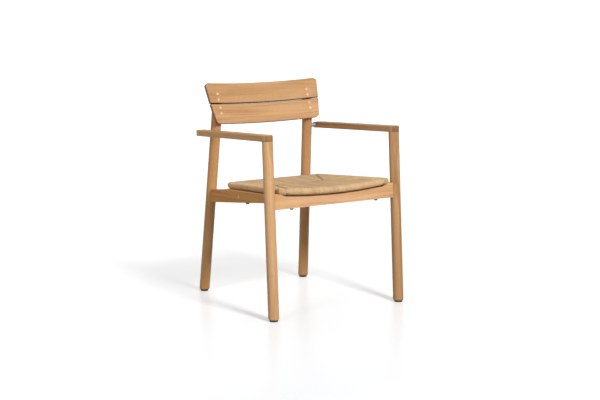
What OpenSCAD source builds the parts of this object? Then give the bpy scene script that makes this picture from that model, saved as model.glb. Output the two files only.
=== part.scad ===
// Teak armchair with a woven cord seat.
// X runs across the chair, -Y is the front, +Z is up, and the floor is z = 0.
// The origin is on the floor, midway between the front and back feet.

/* [Legs] */
// Diameter of the round front legs and back posts
leg_d = 38; // [34:1:44]
// Half the distance between the front leg axes
front_half_w = 271; // [255:1:300]
// Half the distance between the back foot centres
back_half_w = 225; // [215:1:235]
// Distance of every foot centre from the middle of the chair
foot_y = 277; // [265:1:290]
// Lean of the front legs towards the back, in degrees
front_lean = 3.5; // [2.5:0.1:4.5]
// Lean of the back posts towards the front, in degrees
back_lean = 5.4; // [4.5:0.1:6.3]
// Lean of the back posts towards each other, in degrees
back_splay = 2; // [1:0.1:3]
// Chamfer round the bottom of each leg
foot_chamfer = 2.5; // [1:0.5:4]

/* [Glides and bumpers] */
// Diameter of the foot glides
glide_d = 30; // [26:1:32]
// Height of the foot glides
glide_h = 6; // [4:0.5:9]
// Diameter of the peg on a glide or bumper
peg_d = 7; // [5:0.5:9]
// Length of the peg on a glide or bumper
peg_h = 14; // [10:1:18]
// Diameter of the bumpers under the rails
bumper_d = 13; // [10:0.5:16]
// Height of the bumpers under the rails
bumper_h = 5; // [3:0.5:8]
// Distance of the front bumpers from the front leg axes
bumper_in = 90; // [60:1:120]
// Place of the side bumpers along the side rail, from the front leg
bumper_s = 178; // [120:1:200]

/* [Rails] */
// Thickness of the front and side rails
rail_t = 18; // [14:1:24]
// Height of the underside of the front rail above the floor
front_rail_z = 384; // [370:1:395]
// Height of the front rail at its ends
front_rail_h = 54; // [50:1:64]
// Height of the front rail left at the middle of its scooped top
front_rail_mid_h = 33; // [26:1:38]
// Length of the full-height shoulder beside each front leg
shoulder_l = 14; // [8:1:24]
// Length of the slope from the shoulder down into the scoop
shoulder_run = 30; // [20:1:45]
// Height of the side rail underside at the front leg axis
side_rail_z = 409; // [400:1:416]
// Height of the side rail behind the seat
side_rail_h = 47; // [44:1:58]
// Fall of the side rail towards the back, in degrees
side_rail_fall = 7.6; // [7:0.1:8.5]
// Thickness of the rail tenons
tenon_t = 10; // [8:1:12]
// Wood left above and below each tenon
tenon_shoulder = 7; // [5:1:9]
// Clearance between the two tenons in a front leg
tenon_gap = 1; // [0.5:0.5:2]
// Length of each side tenon inside its rail
tenon_lap = 6; // [4:1:10]

/* [Cross rails] */
// Thickness of the two cross rails
cross_t = 20; // [16:1:24]
// Height of the two cross rails
cross_h = 28; // [24:1:34]
// Place of the middle cross rail, front to back
cross_mid_y = -19; // [-40:1:0]
// Distance from the back edge of the seat to the back cross rail centre
cross_back_in = 15; // [13:1:30]
// Diameter of the dowels in the arms
dowel_d = 10; // [8:1:12]
// Diameter of the dowels in the back cross rail
cross_dowel_d = 8; // [6:1:10]
// Length of each dowel in the back cross rail
dowel_l = 24; // [18:1:28]
// Length of those dowels inside the side rail, from its middle
dowel_in_rail = 8; // [6:0.5:8.5]
// Distance between the two dowels at each end
dowel_apart = 14; // [11:1:18]
// Thickness of the cleat behind the front rail
cleat_t = 18; // [14:1:22]
// Height of the cleat at its middle
cleat_h = 26; // [22:1:30]
// Distance between a cleat end and a front leg
cleat_end = 24; // [16:1:40]
// Distance between a seat screw and the cleat screw beside it
cleat_screw_out = 30; // [20:1:40]
// Distance between the seat screws and the back corners of the seat
seat_screw_in = 82; // [60:1:100]

/* [Arms] */
// Width of an arm
arm_w = 39; // [34:1:44]
// Thickness of an arm
arm_t = 22; // [18:1:26]
// Rounding of the upper edges of an arm
arm_round = 4; // [2:0.5:6]
// Length of the arm behind the middle of its screw
arm_behind = 12; // [10:0.5:20]
// Corner radius of the back end of the arm
arm_corner = 5; // [5:0.5:10]
// Height of the underside of an arm over the front leg axis
arm_z = 620; // [600:1:650]
// Fall of the arm towards the back, in degrees
arm_fall = 3; // [2:0.1:4]
// Clear length of the steel spacer between back post and arm
spacer_l = 18; // [14:1:30]
// Diameter of the steel spacer
spacer_d = 16; // [12:1:18]
// Length of the dowel between front leg and arm
arm_dowel_l = 44; // [30:1:50]

/* [Backrest] */
// Recline of the backrest from upright, in degrees
recline = 21.6; // [18:0.1:24]
// Height of the middle of the backrest, on its front face
back_z = 706; // [690:1:720]
// Distance from chair middle to the middle of the backrest front face
back_y = 215.5; // [208:0.5:220]
// Radius of the backrest bend, on its front face
back_r = 1150; // [900:10:1600]
// Thickness of a slat
slat_t = 13; // [12:0.5:20]
// Rounding of the long edges of the slats
slat_edge = 2.5; // [1:0.5:5]
// Chamfer on the end edges of the slats
slat_chamfer = 2.5; // [1:0.5:4]
// Height of the upper slat
slat_h = 77.5; // [66:0.5:84]
// Height of the lower slat
slat_low_h = 74.5; // [66:0.5:84]
// Gap between the two slats
slat_gap = 3; // [2:0.5:6]
// Half the width of the backrest along its top edge
slat_top_w = 248; // [240:0.5:262]
// Half the width of the backrest at the gap
slat_mid_w = 239.5; // [230:0.5:250]
// Half the width of the backrest along its bottom edge
slat_bottom_w = 226; // [214:0.5:232]
// Corner radius of the backrest at top and bottom
slat_corner = 17; // [6:1:20]
// Corner radius of the slats beside the gap
gap_corner = 2; // [1:0.5:4]
// Axis radius of the bend at the head of a back post
knee_r = 44; // [40:1:70]
// Distance of the post head axis behind the slats
head_set = 5; // [3:0.5:10]
// Distance of the post head end below the top of the backrest
head_drop = 22; // [14:1:28]
// Distance of the inner slat screws from the gap middle
screw_in = 15.5; // [12:0.5:20]
// Distance of the outer slat screws from the gap middle
screw_out = 37.5; // [30:0.5:44]

/* [Seat] */
// Distance between the front corners of the seat and the front legs
seat_front_gap = 14; // [10:1:20]
// Distance between the back corners of the seat and the side rails
seat_back_gap = 8.5; // [6:0.5:14]
// Depth of the seat along its surface
seat_l = 410.5; // [390:0.5:415]
// Distance of the seat front edge from the chair middle
seat_front_y = 267.5; // [258:0.5:270]
// Height of the lower edge of the seat at its front corners
seat_z = 436; // [430:0.5:442]
// Fall of the seat towards the back, in degrees
seat_fall = 4.3; // [3.6:0.1:4.8]
// Thickness of the seat at its edges
seat_t = 24; // [20:0.5:28]
// Dip of the front edge at its middle
seat_dip = 13.5; // [8:0.5:15]
// Sag of the woven surface at its middle
seat_sag = 7; // [3:0.5:10]
// Corner radius of the seat outline
seat_corner = 14; // [14:1:26]
// Thickness of the cord layer above and below the seat bars
cord_t = 3; // [2:0.5:4]
// Thickness of the cord on the outer side of the seat bars
cord_side = 5; // [4:0.5:7]
// Width of the side and back seat bars
bar_w = 20; // [17:1:24]
// Width of the front seat bar, which reaches over the cleat
front_bar_w = 44; // [42:1:50]
// Height of the side rails over the underside of the seat between them
seat_sunk = 1; // [0:0.5:5]

/* [Fasteners] */
// Diameter of the wooden plugs
plug_d = 10; // [8:0.5:12]
// Depth of the wooden plugs
plug_l = 6; // [4:0.5:8]
// Diameter of the screw heads
head_d = 9; // [7:0.5:10]
// Height of the screw heads
head_h = 3; // [2:0.5:4]
// Diameter of the screw shanks
shank_d = 5; // [4:0.5:6]
// Depth that each screw reaches into the piece it holds
grip = 18; // [14:1:20]
// Wood left over the tips of the seat screws
tip_cover = 4; // [2:0.5:8]
// Depth that the heads of the seat screws are set into the rails
head_set_in = 2; // [1:0.5:4]

/* [Hidden] */
$fn = 64;
// Facets of the large bend circles
bend_fn = 720;
// Number of bends in the knee of a back post
bend_n = 2;
// Flat steps of the rounding on each long edge of a slat
edge_steps = 3;
// Overlap that makes cuts clean
eps = 0.05;
// Length that is longer than any cut needs
big = 400;
leg_r = leg_d / 2;
// Round tenons on the seat side bars
bar_tenon_d = 9;
bar_tenon_l = 12;
// Small chamfers on glides and bumpers
glide_chamfer = 1;
bumper_chamfer = 1.5;
bumper_x = front_half_w - bumper_in;
// Clearance between the woven underside and what carries it
seat_touch = 0.3;
// Gap that a dowel hole has past each dowel end
dowel_gap = 1;

// Height along the leaning front legs for a true height
function front_up(z) = z / cos(front_lean);
// Place of the front leg axis, front to back, at a true height
function front_axis_y(z) = -foot_y + z * tan(front_lean);
// Place of the back post axis at a true height
function post_rise(z) = z / (cos(back_lean) * cos(back_splay));
function post_axis_x(z) = back_half_w - post_rise(z) * cos(back_lean) * sin(back_splay);
function post_axis_y(z) = foot_y - post_rise(z) * sin(back_lean);

// Side rail line in plan, from front leg axis to back post axis
rail_front_y = front_axis_y(side_rail_z);
rail_back_z = side_rail_z - 2 * foot_y * tan(side_rail_fall);
rail_back_x = post_axis_x(rail_back_z + side_rail_h);
rail_back_y = post_axis_y(rail_back_z + side_rail_h);
rail_yaw = atan((front_half_w - rail_back_x) / (rail_back_y - rail_front_y));
rail_len = (rail_back_y - rail_front_y) / cos(rail_yaw);
// Half width between the side rail centre lines at a place front to back
function rail_x(y) = front_half_w - (y - rail_front_y) * tan(rail_yaw);
// Distance along the side rail for a place front to back
function rail_s(y) = (y - rail_front_y) / cos(rail_yaw);
// Height of the side rail underside at a distance along it
function rail_low(s) = side_rail_z - s * tan(side_rail_fall);

// Seat surface in the chair frame
seat_front_w = front_half_w - leg_r - seat_front_gap;
seat_back_y = -seat_front_y + seat_l * cos(seat_fall);
function seat_low(y) = seat_z - (y + seat_front_y) * tan(seat_fall);
seat_back_w = rail_x(seat_back_y) - rail_t / 2 - seat_back_gap;
cross_back_y = seat_back_y - cross_back_in;
// Height of the side rail tops beside the seat
function rail_top(y) = seat_low(y) + seat_sunk;
// Height of the bar core inside the cord layers
bar_h = seat_t - 2 * cord_t;
// Half the width between the seat edges at a depth along the seat
function seat_w(v) = seat_front_w - (seat_front_w - seat_back_w) * v / seat_l;
seat_taper = atan((seat_front_w - seat_back_w) / seat_l);

// Arm line, from the front leg to the back post
arm_front_y = front_axis_y(arm_z);
arm_mid_z0 = arm_z + arm_t / 2 / cos(arm_fall);
// The screw meets the post where post axis and arm middle line cross
arm_back_y = (foot_y - (arm_mid_z0 + arm_front_y * tan(arm_fall)) * tan(back_lean))
    / (1 - tan(arm_fall) * tan(back_lean));
arm_back_z = arm_mid_z0 - (arm_back_y - arm_front_y) * tan(arm_fall);
arm_back_x = post_axis_x(arm_back_z) + leg_r + spacer_l + arm_w / 2;
arm_yaw = atan((front_half_w - arm_back_x) / (arm_back_y - arm_front_y));
arm_len = (arm_back_y - arm_front_y) / (cos(arm_fall) * cos(arm_yaw));

// Backrest bend: angle from the middle to the post screws
back_outer_r = back_r + slat_t;
post_screw_x = post_axis_x(back_z);
screw_phi = asin(post_screw_x / (back_outer_r + head_set));
// Point of the post head axis at the middle of the backrest
head_mid_y = back_y + ((back_outer_r + head_set) * cos(screw_phi) - back_r) * cos(recline);
head_mid_z = back_z - ((back_outer_r + head_set) * cos(screw_phi) - back_r) * sin(recline);
// Knee: where the leaning post axis meets the reclined head axis
knee_z = (foot_y + head_mid_z * tan(recline) - head_mid_y) / (tan(recline) + tan(back_lean));
knee_bend = recline + back_lean;
knee_reach = knee_r * tan(knee_bend / 2);
knee_up = knee_z / cos(back_lean);
head_len = slat_h + slat_gap / 2 - head_drop + (head_mid_z - knee_z) / cos(recline)
    - knee_reach + knee_r * tan(knee_bend / (2 * bend_n));

teak = "#d2a06a";
plug_wood = "#e6bd8c";
cord = "#c9ad80";
steel = "#c8c9cb";
black = "#26221f";

// Placement

// Frame of a front leg: local z runs up the leg from its foot centre
module on_front_leg(side) {
    translate([side * front_half_w, -foot_y, 0]) rotate([-front_lean, 0, 0]) children();
}

// Frame of the right back post: local z runs up the post from its foot centre
module on_post() {
    translate([back_half_w, foot_y, 0]) rotate([back_lean, -back_splay, 0]) children();
}

// Frame of the right side rail: local x runs along it towards the back, y across it
module on_side_rail() {
    translate([front_half_w, rail_front_y, 0]) rotate([0, 0, 90 + rail_yaw]) children();
}

// Frame of the right arm: local y runs along its underside towards the back
module on_arm() {
    translate([front_half_w, arm_front_y, arm_z]) rotate([-arm_fall, 0, arm_yaw]) children();
}

// Frame of the backrest: y points out of its back, z runs up the slats
module on_back() {
    translate([0, back_y, back_z]) rotate([-recline, 0, 0]) children();
}

// Frame on the backrest face: z points straight out of its back
module at_slat_screw(side, v) {
    on_back() translate([0, -back_r, v]) rotate([0, 0, -side * screw_phi])
        translate([0, back_r, 0]) rotate([-90, 0, 0]) children();
}

// Frame of the seat: origin on the lower front edge, y runs back along the seat
module on_seat() {
    translate([0, -seat_front_y, seat_z]) rotate([-seat_fall, 0, 0]) children();
}

// Draws the children on the left side as well
module both_sides() {
    children();
    mirror([1, 0, 0]) children();
}

module one_side(side) {
    if (side > 0) children();
    else mirror([1, 0, 0]) children();
}

// Shared shapes

// Points of a corner arc of radius r between three outline points
function corner_arc(a, b, c, r, n) = let(
    u = (a - b) / norm(a - b),
    w = (c - b) / norm(c - b),
    half = acos(u * w) / 2,
    cut = r / tan(half),
    mid = b + (u + w) / norm(u + w) * (r / sin(half)),
    from = b + u * cut - mid,
    to = b + w * cut - mid,
    turn = sign(from[0] * to[1] - from[1] * to[0]) * acos(-(u * w))
) [for (i = [0 : n])
    mid + [
        from[0] * cos(turn * i / n) - from[1] * sin(turn * i / n),
        from[0] * sin(turn * i / n) + from[1] * cos(turn * i / n)
    ]];

// Outline with a rounded corner at every point
function rounded(points, radii, n = 8) = [
    for (i = [0 : len(points) - 1])
        each corner_arc(
            points[(i + len(points) - 1) % len(points)],
            points[i],
            points[(i + 1) % len(points)],
            radii[i],
            n
        )
];

// Smooth step from 0 to 1
function ease(t) = let(c = min(1, max(0, t))) c * c * (3 - 2 * c);

// Plain round-head screw: head at the origin, shank along +z
module screw(length) {
    cylinder(d = head_d, h = head_h);
    cylinder(d = shank_d, h = length);
}

// Round leg bottom: a cone trims the foot and the plane z = glide_h ends it
module foot_trim() {
    translate([0, 0, glide_h])
        cylinder(r1 = leg_r - foot_chamfer, r2 = leg_r - foot_chamfer + 2 * big, h = 2 * big);
}

// Glide: round pad with a peg, on a foot centre
module glide() {
    cylinder(d1 = glide_d - 2 * glide_chamfer, d2 = glide_d, h = glide_chamfer);
    translate([0, 0, glide_chamfer]) cylinder(d = glide_d, h = glide_h - glide_chamfer);
    cylinder(d = peg_d, h = glide_h + peg_h);
}

// Bumper: round pad with a peg, its top face at the origin, hanging down
module bumper() {
    translate([0, 0, -bumper_h])
        cylinder(d1 = bumper_d - 2 * bumper_chamfer, d2 = bumper_d, h = bumper_chamfer);
    translate([0, 0, bumper_chamfer - bumper_h]) cylinder(d = bumper_d, h = bumper_h - bumper_chamfer);
    cylinder(d = peg_d, h = peg_h);
}

// Legs and posts

// Full round front leg, without its joints
module front_leg_round(side) {
    intersection() {
        on_front_leg(side) cylinder(r = leg_r, h = front_up(arm_z) + leg_d);
        translate([side * front_half_w, -foot_y, 0]) foot_trim();
    }
}

module leg_front(side) {
    color(teak) difference() {
        front_leg_round(side);
        one_side(side) {
            on_arm() translate([-big / 2, -big / 2, 0]) cube([big, big, big]);
            arm_dowel_hole();
            rail_side_tenon();
        }
        rail_front_tenons();
        translate([side * front_half_w, -foot_y, 0]) glide();
    }
}

// The bends at the knee are mitres between round lengths
bend_step = knee_bend / bend_n;
bend_seg = 2 * knee_r * tan(bend_step / 2);
// Point where a bend's two axes meet, in the post frame
function bend_point(i) = i == 1
    ? [0, 0, knee_up - knee_reach + bend_seg / 2]
    : bend_point(i - 1) + bend_seg * [0, sin((i - 1) * bend_step), cos((i - 1) * bend_step)];

// Box on one side of the mitre plane at a bend, above it or below it
module mitre_side(i, up) {
    translate(bend_point(i)) rotate([-(i - 0.5) * bend_step, 0, 0])
        translate([-leg_d, -leg_d, up ? 0 : -2 * leg_d]) cube(2 * leg_d);
}

// Right back post as a round bar with its bent head, without its joints
module post_round() {
    on_post() {
        difference() {
            translate([0, 0, -leg_d]) cylinder(r = leg_r, h = bend_point(1)[2] + leg_d + leg_r);
            mitre_side(1, true);
        }
        for (i = [1 : bend_n - 1]) difference() {
            translate(bend_point(i)) rotate([-i * bend_step, 0, 0])
                translate([0, 0, -leg_r]) cylinder(r = leg_r, h = bend_seg + leg_d);
            mitre_side(i, false);
            mitre_side(i + 1, true);
        }
        difference() {
            translate(bend_point(bend_n)) rotate([-knee_bend, 0, 0]) {
                translate([0, 0, -leg_r]) cylinder(r = leg_r, h = leg_r + head_len - foot_chamfer);
                translate([0, 0, head_len - foot_chamfer])
                    cylinder(r1 = leg_r, r2 = leg_r - foot_chamfer, h = foot_chamfer);
            }
            mitre_side(bend_n, false);
        }
    }
}

// Room in front of the flat that a post head has for the slats, square to their screws
module slat_seat(side) {
    on_back() translate([0, -back_r, 0]) rotate([0, 0, -side * screw_phi])
        translate([-big / 2, back_outer_r - big, -big / 2]) cube(big);
}

module post_back(side) {
    color(teak) difference() {
        intersection() {
            one_side(side) post_round();
            translate([side * back_half_w, foot_y, 0]) foot_trim();
        }
        slat_seat(side);
        for (v = [-screw_out, -screw_in, screw_in, screw_out])
            at_slat_screw(side, v) translate([0, 0, plug_l]) screw(slat_t - plug_l + grip);
        one_side(side) {
            rail_side_tenon();
            arm_screw();
        }
        translate([side * back_half_w, foot_y, 0]) glide();
    }
}

// Rails

// Height of the scooped front rail top, in the leg frame
front_scoop_w = front_half_w - leg_r - shoulder_l;
front_low = front_up(front_rail_z);
function front_top(x) = let(
    a = abs(x),
    scoop = front_rail_mid_h + seat_dip * pow(min(a, front_scoop_w) / seat_front_w, 2),
    t = ease((a - front_scoop_w + shoulder_run) / shoulder_run)
) front_low + scoop + (front_rail_h - scoop) * t;

scoop_steps = 48;

module rail_front() {
    side_x = front_half_w - leg_r / 2;
    step = 2 * side_x / scoop_steps;
    color(teak) difference() {
        union() {
            translate([0, -foot_y, 0]) rotate([90 - front_lean, 0, 0])
                linear_extrude(rail_t, center = true)
                    polygon(concat(
                        [[-side_x, front_low], [side_x, front_low]],
                        [for (i = [0 : scoop_steps]) let(x = side_x - i * step) [x, front_top(x)]]
                    ));
            rail_front_tenons();
        }
        for (side = [-1, 1]) difference() {
            front_leg_round(side);
            rail_front_tenons();
        }
        for (x = [-bumper_x, bumper_x]) front_bumper(x);
        cleat_fixings();
    }
}

// Frame on the back face of the front rail, z pointing up its slope
module on_rail_back() {
    on_front_leg(0) translate([0, rail_t / 2, 0]) children();
}

cleat_half = front_half_w - leg_r - cleat_end;
cleat_mid_v = (front_axis_y(seat_z) + rail_t / 2 + cleat_t / 2 + seat_front_y) / cos(seat_fall);
// Height of the cleat top in the leg frame, just under the woven underside
function cleat_top(x) = front_up(
    seat_z - cleat_mid_v * sin(seat_fall) + dip(x, cleat_mid_v)
    + (rail_t / 2 + cleat_t / 2) * sin(front_lean)) - 2 * seat_touch;
cleat_low = cleat_top(0) - cleat_h;

// Cleat behind the front rail: its top follows the dip of the seat that it carries
module rail_cleat() {
    step = 2 * cleat_half / dip_steps;
    color(teak) difference() {
        on_rail_back() translate([0, cleat_t, 0]) rotate([90, 0, 0]) linear_extrude(cleat_t)
            polygon(concat(
                [[-cleat_half, cleat_low], [cleat_half, cleat_low]],
                [for (i = [0 : dip_steps]) let(x = cleat_half - i * step) [x, cleat_top(x)]]
            ));
        cleat_fixings();
        seat_fixings();
        seat_counterbores();
    }
}

// Screws from behind, through the cleat into the front rail
module cleat_fixings() {
    for (x = [-fix_x - cleat_screw_out, fix_x + cleat_screw_out])
        on_rail_back() translate([x, cleat_t, cleat_low + cleat_h / 2]) rotate([90, 0, 0])
            screw(cleat_t + rail_t - plug_l);
}

// Tenons of the front rail, past the leg axis in each front leg
module rail_front_tenons() {
    reach = leg_r + tenon_t / 2;
    for (side = [-1, 1])
        on_front_leg(side) translate([side * (tenon_t - reach) / 2 - reach / 2, -tenon_t / 2, 0])
            translate([0, 0, front_low + tenon_shoulder])
                cube([reach, tenon_t, front_rail_h - 2 * tenon_shoulder]);
}

module front_bumper(x) {
    on_front_leg(0) translate([x, 0, front_low]) bumper();
}

// Outline of the side rail: falls to the back, follows the seat in front
module side_rail_outline() {
    back_s = rail_len + leg_r / 2;
    low_front = rail_top(rail_front_y);
    kink = (low_front - side_rail_z - side_rail_h / cos(side_rail_fall))
        / (tan(seat_fall) * cos(rail_yaw) - tan(side_rail_fall));
    polygon([
        [0, rail_low(0)],
        [back_s, rail_low(back_s)],
        [back_s, rail_low(back_s) + side_rail_h / cos(side_rail_fall)],
        [kink, rail_low(kink) + side_rail_h / cos(side_rail_fall)],
        [0, low_front]
    ]);
}

module side_rail_bar(t) {
    on_side_rail() rotate([90, 0, 0]) linear_extrude(t, center = true) side_rail_outline();
}

// Tenons of the right side rail in front leg and back post
module rail_side_tenon() {
    front_s = tenon_t / 2 + tenon_gap;
    front_h = rail_top(rail_front_y) - side_rail_z - 2 * tenon_shoulder;
    back_s = rail_len - leg_r - tenon_lap;
    back_h = side_rail_h - 2 * tenon_shoulder;
    on_side_rail() {
        translate([front_s, -tenon_t / 2, rail_low(leg_r) + tenon_shoulder])
            cube([leg_r + tenon_lap - front_s, tenon_t, front_h]);
        translate([back_s, -tenon_t / 2, rail_low(back_s) + tenon_shoulder])
            cube([rail_len + tenon_t / 2 - back_s, tenon_t, back_h]);
    }
}

module rail_side(side) {
    color(teak) one_side(side) difference() {
        union() {
            side_rail_bar(rail_t);
            rail_side_tenon();
        }
        difference() {
            front_leg_round(1);
            rail_side_tenon();
        }
        difference() {
            post_round();
            rail_side_tenon();
        }
        cross_screw();
        cross_dowels();
        side_bumper();
    }
}

// Bumper square to the underside of the right side rail
module side_bumper() {
    on_side_rail() translate([bumper_s, 0, rail_low(bumper_s)])
        rotate([0, side_rail_fall, 0]) bumper();
}

// Room between the inner faces of the side rails
module between_side_rails() {
    half_front = rail_x(-foot_y) - rail_t / 2 / cos(rail_yaw);
    half_back = rail_x(foot_y) - rail_t / 2 / cos(rail_yaw);
    linear_extrude(2 * big) polygon([
        [-half_front, -foot_y], [half_front, -foot_y], [half_back, foot_y], [-half_back, foot_y]
    ]);
}

// Place of a cross rail along the seat surface
function seat_v(y) = (y + seat_front_y) / cos(seat_fall);
// Distance of a cross rail top below the flat seat plane, clear of its dip
function cross_drop(y) = seat_touch - dip(0, seat_v(y) - cross_t / 2);

// Cross rail parallel to the seat, just under the woven underside
module rail_cross(y) {
    intersection() {
        on_seat() translate([-big, seat_v(y) - cross_t / 2, -cross_drop(y) - cross_h])
            cube([2 * big, cross_t, cross_h]);
        between_side_rails();
    }
}

module rail_cross_middle() {
    color(teak) difference() {
        rail_cross(cross_mid_y);
        both_sides() cross_screw();
    }
}

module rail_cross_back() {
    color(teak) difference() {
        rail_cross(cross_back_y);
        both_sides() cross_dowels();
        seat_fixings();
        seat_counterbores();
    }
}

// Height of the middle line of a cross rail
function cross_mid_z(y) = seat_low(y) - (cross_drop(y) + cross_h / 2) / cos(seat_fall);

// Screw from the outside of the right side rail into the middle cross rail
module at_cross_screw() {
    on_side_rail() translate([rail_s(cross_mid_y), 0, cross_mid_z(cross_mid_y)])
        rotate([-90, 0, 0]) translate([0, 0, -rail_t / 2]) children();
}

module cross_screw() {
    at_cross_screw() {
        cylinder(d = plug_d, h = plug_l);
        translate([0, 0, plug_l]) screw(rail_t - plug_l + grip);
    }
}

// Dowels between the right side rail and the back cross rail
module cross_dowels() {
    for (k = [-1, 1])
        on_side_rail()
            translate([rail_s(cross_back_y), -dowel_in_rail, cross_mid_z(cross_back_y) + k * dowel_apart / 2])
            rotate([-90, 0, 0]) cylinder(d = cross_dowel_d, h = dowel_l);
}

// Arms

module arm_section() {
    translate([-arm_w / 2, 0]) square([arm_w, arm_t - arm_round]);
    translate([arm_round - arm_w / 2, 0]) square([arm_w - 2 * arm_round, arm_t]);
    for (s = [-1, 1]) translate([s * (arm_w / 2 - arm_round), arm_t - arm_round]) circle(r = arm_round);
}

// Round corner of an arm, with its axis at the middle of the corner
module arm_corner_post(r) {
    rotate_extrude() intersection() {
        translate([r - arm_w / 2, 0]) arm_section();
        square([r, arm_t]);
    }
}

// Right arm, without its joints: half round over the leg, with two round corners at the back
module arm_bar() {
    end_y = arm_len + arm_behind;
    corner_y = end_y - arm_corner;
    corner_x = arm_w / 2 - arm_corner;
    on_arm() {
        translate([0, corner_y, 0]) rotate([90, 0, 0]) linear_extrude(corner_y) arm_section();
        arm_corner_post(arm_w / 2);
        for (side = [-1, 1]) translate([side * corner_x, corner_y, 0]) arm_corner_post(arm_corner);
        translate([-corner_x, 0, 0]) rotate([90, 0, 90]) linear_extrude(2 * corner_x) intersection() {
            translate([end_y - arm_w / 2, 0]) arm_section();
            translate([corner_y, 0]) square([arm_corner, arm_t]);
        }
    }
}

module arm_dowel() {
    on_arm() translate([0, 0, -arm_dowel_l + arm_t / 2]) cylinder(d = dowel_d, h = arm_dowel_l);
}

module arm_dowel_hole() {
    on_arm() translate([0, 0, -arm_dowel_l + arm_t / 2 - dowel_gap])
        cylinder(d = dowel_d, h = arm_dowel_l + 2 * dowel_gap);
}

// Frame of the screw that ties the right arm to its post, z pointing inwards
module at_arm_screw() {
    translate([arm_back_x + arm_w / 2, arm_back_y, arm_back_z]) rotate([0, -90, 0]) children();
}

module arm_screw() {
    at_arm_screw() translate([0, 0, plug_l]) screw(arm_w - plug_l + spacer_l + grip);
}

module arm_plug_round() {
    at_arm_screw() translate([0, 0, -plug_l]) cylinder(d = plug_d, h = 2 * plug_l);
}

module arm(side) {
    color(teak) one_side(side) difference() {
        arm_bar();
        arm_dowel_hole();
        arm_screw();
        arm_plug_round();
    }
}

module arm_spacer(side) {
    color(steel) one_side(side) difference() {
        at_arm_screw() translate([0, 0, arm_w]) cylinder(d = spacer_d, h = spacer_l + leg_r / 2);
        post_round();
        arm_screw();
    }
}

// Backrest

// Outline of a slat from its low edge to its high edge
module slat_outline(low, high, low_w, high_w, low_r, high_r) {
    polygon(rounded(
        [[-low_w, low], [low_w, low], [high_w, high], [-high_w, high]],
        [low_r, low_r, high_r, high_r]
    ));
}

// Section of a slat across its length, its long edges eased in flat steps; x is the bend radius
module slat_section(low, high) {
    polygon([for (turn = [0:3], k = [0:edge_steps]) let(a = 90 * turn + 90 * k / edge_steps) [
        back_r + slat_t / 2 + sign(cos(90 * turn + 45)) * (slat_t / 2 - slat_edge) + slat_edge * cos(a),
        (low + high) / 2 + sign(sin(90 * turn + 45)) * ((high - low) / 2 - slat_edge) + slat_edge * sin(a)
    ]]);
}

// Depth of a slat face of radius r at a distance from the middle of the backrest
function face_y(r, x) = sqrt(r * r - x * x) - back_r;

// Square bar on an end edge of a slat; its corner cuts the chamfer
module end_chamfer(low, high, low_w, high_w, r) {
    a = [low_w, face_y(r, low_w), low];
    b = [high_w, face_y(r, high_w), high];
    d = (b - a) / norm(b - a);
    translate((a + b) / 2) rotate([-asin(d[1]), atan(d[0] / d[2]), 0]) rotate([0, 0, 45])
        cube([slat_chamfer * sqrt(2), slat_chamfer * sqrt(2), 2 * (high - low)], center = true);
}

module slat(low, high, low_w, high_w, low_r, high_r) {
    color(teak) difference() {
        on_back() difference() {
            intersection() {
                translate([0, -back_r, 0]) rotate_extrude($fn = bend_fn) slat_section(low, high);
                rotate([90, 0, 0]) linear_extrude(big / 2, center = true)
                    slat_outline(low, high, low_w, high_w, low_r, high_r);
            }
            for (r = [back_r, back_outer_r])
                both_sides() end_chamfer(low, high, low_w, high_w, r);
        }
        for (side = [-1, 1], v = [-screw_out, -screw_in, screw_in, screw_out])
            at_slat_screw(side, v) {
                translate([0, 0, -plug_l]) cylinder(d = plug_d, h = 2 * plug_l);
                translate([0, 0, plug_l]) screw(slat_t - plug_l + grip);
            }
    }
}

module slat_upper() {
    slat(slat_gap / 2, slat_gap / 2 + slat_h, slat_mid_w, slat_top_w, gap_corner, slat_corner);
}

module slat_lower() {
    slat(-slat_gap / 2 - slat_low_h, -slat_gap / 2, slat_bottom_w, slat_mid_w, slat_corner, gap_corner);
}

// Seat

// Dip of the seat at a place on it, from the curved front bar
function dip(x, v) = -seat_dip * (1 - pow(min(1, abs(x) / seat_w(v)), 2)) * pow(1 - v / seat_l, 1.5);

dip_steps = 24;
// Inset of the bar faces from the outside of the seat
bar_in = cord_side;
bar_front_w = seat_front_w - cord_side;
// Depth along the seat of the inner faces of the front and back bars
front_bar_v = bar_in + front_bar_w;
back_bar_v = seat_l - bar_in - bar_w;

// Front bar, whole: its top and bottom follow the dip of the front edge
module front_bar_block() {
    step = 2 * bar_front_w / dip_steps;
    low = [for (i = [0 : dip_steps]) let(x = i * step - bar_front_w) [x, cord_t + dip(x, 0)]];
    high = [for (i = [0 : dip_steps]) let(x = bar_front_w - i * step) [x, cord_t + bar_h + dip(x, 0)]];
    on_seat() intersection() {
        translate([0, front_bar_v, 0]) rotate([90, 0, 0])
            linear_extrude(front_bar_w) polygon(concat(low, high));
        linear_extrude(2 * big, center = true) seat_core_plan();
    }
}

// Back bar, whole
module back_bar_block() {
    on_seat() translate([0, 0, cord_t]) linear_extrude(bar_h) intersection() {
        translate([-big, back_bar_v]) square([2 * big, bar_w]);
        seat_core_plan();
    }
}

// Right side bar, whole
module side_bar_block() {
    on_seat() translate([0, 0, cord_t]) linear_extrude(bar_h) seat_side_bar_plan();
}

module seat_bar_front() {
    color(teak) difference() {
        front_bar_block();
        seat_bar_tenons();
        seat_fixings();
    }
}

module seat_bar_back() {
    color(teak) difference() {
        back_bar_block();
        seat_bar_tenons();
        seat_fixings();
    }
}

// Outline of the bar frame, inside the cord layer
module seat_core_plan() {
    front = seat_w(0) - cord_side;
    back = seat_w(seat_l) - cord_side;
    r = seat_corner - cord_side;
    polygon(rounded(
        [[-front, bar_in], [front, bar_in], [back, seat_l - bar_in], [-back, seat_l - bar_in]],
        [r, r, r, r]
    ));
}

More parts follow.
